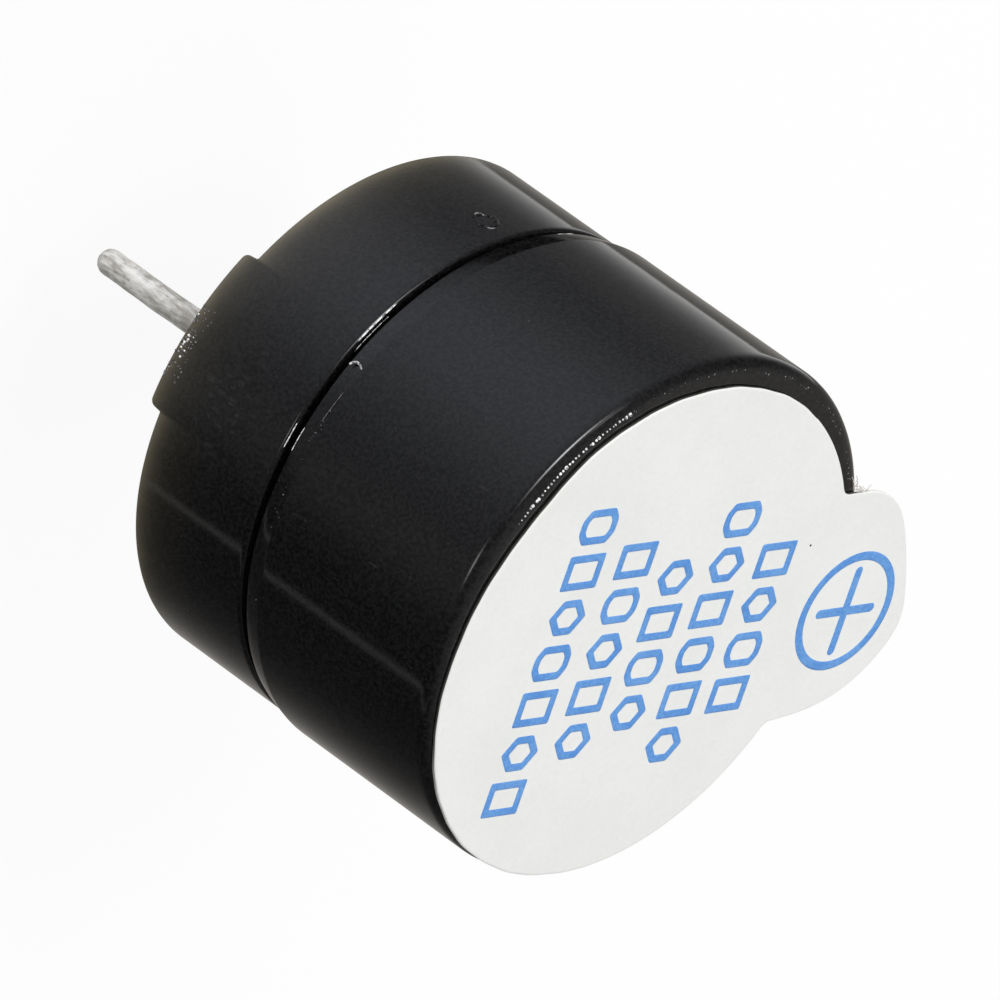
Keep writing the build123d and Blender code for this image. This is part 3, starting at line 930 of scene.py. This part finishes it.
def print_marks():
    """Polarity sign on the tab, five rows of plain marks and a speck of grit, as thin plates of ink."""
    half_height, half_width = mark_half
    box = [(0, half_height), (90, half_width), (180, half_height), (270, half_width)]
    slants = (36, 144, 216, 324)
    tip = half_height * math.cos(math.radians(36))
    six_sided = [(90, half_width), (270, half_width)] + [(way, tip) for way in slants]
    eight_sided = box + [(way, 1.22 * tip) for way in slants]
    shapes = [box, six_sided, eight_sided]
    order = iter((0, 1, 2, 0, 2, 1, 0, 2, 0, 1, 1, 0, 2, 1, 0, 2, 1, 0, 1, 2, 0, 1, 2, 0, 1, 0))
    plates = []
    for middle, start, count in zip(row_middles, row_starts, row_counts):
        for k in range(count):
            sides = shapes[next(order)]
            shift = np.array([middle, start - (k + 0.5) * mark_pitch])
            outline = polygon(sides)
            fit = np.array(mark_half) / np.abs(outline).max(0)
            plates.append(ink_plate(outline * fit + shift, polygon(sides, ink_stroke) * fit + shift))
    circle = [(turn, sign_radius) for turn in range(0, 360, 15)]
    ring = polygon(circle, power=40)
    ring_inside = polygon(circle, sign_stroke, power=40)
    plates.append(ink_plate(ring + sign_place, ring_inside + sign_place))
    for length, turn, lift in zip(sign_arms, (0, 90), (0.0, 0.001)):
        outline, core = stadium(length, sign_stroke, turn)
        plates.append(ink_plate(outline + sign_place, core + sign_place, lift))
    grit_place = np.array([[*on_label(np.array([grit_spot]))[0], label_high.z]])
    grit = blobs(grit_place, np.array([[0.035, 0.028, ink_height]]))
    piece("label_print", plates + [(*grit, 1)], [ink, plastic])


def label_fibres():
    """A tuft of paper fibres that stands out of the label's cut edge at the neck of the tab. Each is an
    arc: its direction turns evenly along it, so its place is the difference of sines and cosines of that
    direction, times its length over the whole turn."""
    strands = []
    lengths = np.append(rng.uniform(0.1, 0.3, 20), [0.5, 0.36])
    curls = np.append(rng.uniform(1.2, 4.2, 20), [0.6, 0.9]) * rng.choice([-1.0, 1.0], 22)
    share = np.linspace(0, 1, 12)
    for length, curl in zip(lengths, curls):
        x = tuft_start + tuft_width * rng.random() ** 1.3
        y = neck_point[1] + neck_slope * (x - neck_point[0])
        root = np.array([x, y, rng.uniform(label_low.z, label_high.z)])
        way = math.radians(rng.uniform(70, 140))
        turn = way + curl * share
        across = math.cos(way) - np.cos(turn)
        arc = np.column_stack([np.sin(turn) - math.sin(way), across, -0.2 * curl * share])
        strand = tube(root + arc * length / curl, rng.uniform(0.006, 0.011), sides=5)
        strands.append((*strand, 0))
    piece("label_fibres", strands, [fibre])


front_case()
rear_case()
pin("negative_pin", "negative_pin_wire")
pin("positive_pin", "positive_pin_wire")
label_sheet()
print_marks()
label_fibres()


# Studio

floor_drop = 0.02
floor_size = 400.0
tent_radius = 900.0
tent_base = 0.03
soft_grey = 0.45

# Share of the floor's own white in what the camera sees of it. The rest takes the light and the shadow.
background_share = 0.92

# Soft panels round the object, as they show in glossy pieces: turn and half width, lift and half height,
# strength and colour
panels = (
    (130.3, 45.9, -34.0, 70.0, 0.68, (0.94, 0.97, 1.08)),
    (139.0, 15.0, 28.5, 6.5, 16.0, (1.0, 1.0, 1.0)),
    (112.0, 9.0, 43.0, 6.0, 2.0, (1.0, 1.0, 1.0)),
    (193.0, 6.0, -10.0, 6.0, 4.0, (1.0, 1.0, 1.0)),
    (62.0, 12.0, -34.0, 20.0, 0.06, (1.0, 1.0, 1.0)),
    (-8.2, 37.4, -5.0, 55.0, 0.43, (1.06, 1.0, 0.93)),
    (0.0, 900.0, 90.0, 40.0, 0.3, (1.0, 1.0, 1.0)),
    (203.1, 16.2, -34.0, 60.0, 0.14, (1.0, 1.0, 1.0)),
    (250.8, 1.6, -34.0, 60.0, 0.3, (1.0, 1.0, 0.95)),
)

# One more panel has a sharp side at this turn, and fades from it as a power of e with this reach. Then
# come its lift and half height, and its strength.
sharp_side = (25.0, 13.3, -20.0, 18.0, 1.68)

# A dark gap below it: turn and half width, lift and half height
dark_gap = (46.0, 26.0, -49.0, 10.5)

# Lamps: name, turn, lift, distance, size and watts
lamps = (
    ("key", 127.0, 50.0, 450.0, 160.0, 1.0),
    ("side", 135.0, 10.0, 450.0, 160.0, 0.6),
    ("top", -20.0, 70.0, 450.0, 200.0, 0.4),
)


def stage_mesh(name, points, look):
    """A surface that belongs to the studio."""
    flat, quads = surface(points, close_rows=False)
    mesh = bpy.data.meshes.new(name)
    mesh.from_pydata((flat * MM).tolist(), [], quads.tolist())
    mesh.materials.append(look)
    made = bpy.data.objects.new(name, mesh)
    bpy.context.scene.collection.objects.link(made)
    return made


def floor_finish():
    """White floor. The camera sees mostly its own white, and the rest takes light and shadow.
    From below it is clear, so that it hides nothing of the object."""
    made = bpy.data.materials.new("floor_white")
    made.use_nodes = True
    graph = Graph(made.node_tree)
    matt = graph.node("ShaderNodeBsdfDiffuse", {}, {"Color": (0.9, 0.9, 0.9, 1.0)})
    white = graph.node("ShaderNodeEmission", {}, {"Color": (1.0, 1.0, 1.0, 1.0), "Strength": 1.0})
    seen = graph.node("ShaderNodeLightPath", output="Is Camera Ray")
    mixed = graph.node("ShaderNodeMixShader", {}, {0: seen * background_share, 1: matt, 2: white})
    below = graph.node("ShaderNodeNewGeometry", output="Backfacing") * seen
    clear = graph.node("ShaderNodeBsdfTransparent")
    shader = graph.node("ShaderNodeMixShader", {}, {0: below, 1: mixed, 2: clear})
    graph.node("ShaderNodeOutputMaterial", {}, {"Surface": shader})
    return made


def tent_finish():
    """Glow of the studio tent. Each panel is a bell curve of the turn and the lift from its middle. The
    dark gap takes light away under a flatter bell, of the fourth powers."""
    made = bpy.data.materials.new("tent_panels")
    made.use_nodes = True
    graph = Graph(made.node_tree)
    place = graph.node("ShaderNodeTexCoord", output="Object")
    x, y, z = axes(graph, place)
    turn = y.maths("ARCTAN2", y, x)
    rise = z.maths("ARCTAN2", z, (x * x + y * y) ** 0.5)
    glow = (tent_base, tent_base, tent_base)
    for middle, width, lift, height, strength, colour in panels:
        away = turn - math.radians(middle)
        gap = away.maths("PINGPONG", away, math.pi)
        climb = (rise - math.radians(lift)) / math.radians(height)
        bell = exponent(-1.0 * (gap / math.radians(width)) ** 2.0 - climb * climb)
        scale = {0: colour, "Scale": bell * strength}
        shade = graph.node("ShaderNodeVectorMath", {"operation": "SCALE"}, scale)
        glow = graph.node("ShaderNodeVectorMath", {"operation": "ADD"}, {0: glow, 1: shade})
    side, reach, lift, height, strength = sharp_side
    past = turn - math.radians(side)
    fade = exponent(past.maths("MAXIMUM", past, 0.0) / -math.radians(reach))
    climb = (rise - math.radians(lift)) / math.radians(height)
    sharp = strength * band(graph, past, -0.012, 0.012) * fade * exponent(-1.0 * climb * climb)
    glow = graph.node("ShaderNodeVectorMath", {"operation": "ADD"}, {0: glow, 1: sharp})
    side, width, lift, height = dark_gap
    across = (turn - math.radians(side)) / math.radians(width)
    climb = (rise - math.radians(lift)) / math.radians(height)
    dark = 1.3 * exponent(-1.0 * across**4.0 - climb**4.0)
    kept = 1.0 - dark.maths("MINIMUM", dark, 0.97)
    glow = graph.node("ShaderNodeVectorMath", {"operation": "SCALE"}, {0: glow, "Scale": kept})
    shader = graph.node("ShaderNodeEmission", {}, {"Color": glow, "Strength": 1.0})
    graph.node("ShaderNodeOutputMaterial", {}, {"Surface": shader})
    return made


def studio():
    """Floor, and the tent, which only glossy pieces show."""
    steps = np.linspace(0, 2 * np.pi, 96, endpoint=False)
    reach = np.array([0.0, floor_size])[:, None]
    level = ground - floor_drop
    disc = np.stack([reach * np.cos(steps), reach * np.sin(steps), level + 0 * reach * steps], -1)
    floor = stage_mesh("floor", disc, floor_finish())
    floor.visible_glossy = False
    tilt = np.linspace(-np.pi / 2, np.pi / 2, 49)
    dome = lathe(np.column_stack([tent_radius * np.cos(tilt), tent_radius * np.sin(tilt)]), steps)
    tent = stage_mesh("tent", dome, tent_finish())
    tent.visible_camera = False
    tent.visible_diffuse = False
    tent.visible_transmission = False
    tent.visible_shadow = False
    tent.visible_volume_scatter = False


def background():
    """White to the camera, and to gloss and glass. Everything else gets the studio's soft grey."""
    world = bpy.data.worlds.new("studio")
    world.use_nodes = True
    graph = Graph(world.node_tree)
    kinds = ("Is Camera Ray", "Is Glossy Ray", "Is Transmission Ray")
    rays = [graph.node("ShaderNodeLightPath", output=kind) for kind in kinds]
    white = graph.node("ShaderNodeBackground", {}, {"Color": (1.0, 1.0, 1.0, 1.0), "Strength": 1.0})
    soft = graph.node("ShaderNodeBackground", {}, {"Color": (1.0, 1.0, 1.0, 1.0), "Strength": soft_grey})
    seen = band(graph, rays[0] + rays[1] + rays[2], 0.0, 1.0)
    mixed = graph.node("ShaderNodeMixShader", {}, {0: seen, 1: soft, 2: white})
    graph.node("ShaderNodeOutputWorld", {}, {"Surface": mixed})
    bpy.context.scene.world = world


def softbox(name, turn, lift, distance, size, watts):
    """Square lamp that looks at the middle of the case from a turn and a lift above the floor.
    Gloss doesn't show it, because the tent's panels stand for it there."""
    lamp = bpy.data.lights.new(name, "AREA")
    lamp.shape = "SQUARE"
    lamp.size = size * MM
    lamp.energy = watts
    made = bpy.data.objects.new(name, lamp)
    bpy.context.scene.collection.objects.link(made)
    angle, rise = math.radians(turn), math.radians(lift)
    away = Vector((math.cos(angle) * math.cos(rise), math.sin(angle) * math.cos(rise), math.sin(rise)))
    middle = Vector((0, 0, front_face / 2 * MM))
    made.location = middle + away * distance * MM
    made.rotation_mode = "QUATERNION"
    made.rotation_quaternion = away.to_track_quat("Z", "Y")
    made.visible_camera = False
    made.visible_glossy = False


def camera():
    """Long lens on the side of the case: where it looks, from how far, from which turn and lift, and how
    far it is rolled."""
    target = Vector((-2.12, 0.50, 6.28))
    distance = 407.57
    turn, lift, roll = math.radians(173.21), math.radians(34.09), math.radians(125.63)
    back = Vector((math.cos(turn) * math.cos(lift), math.sin(turn) * math.cos(lift), math.sin(lift)))
    lens = bpy.data.cameras.new("camera")
    lens.lens = 720.0
    lens.sensor_width = 36.0
    lens.clip_start = 0.01
    lens.clip_end = 10.0
    made = bpy.data.objects.new("camera", lens)
    bpy.context.scene.collection.objects.link(made)
    level = back.to_track_quat("Z", "Y").to_matrix()
    aim = level @ Matrix.Rotation(roll, 3, "Z")
    made.matrix_world = Matrix.Translation((target + back * distance) * MM) @ aim.to_4x4()
    bpy.context.scene.camera = made


studio()
background()
for lamp in lamps:
    softbox(*lamp)
camera()
bpy.context.scene.view_settings.view_transform = "Standard"
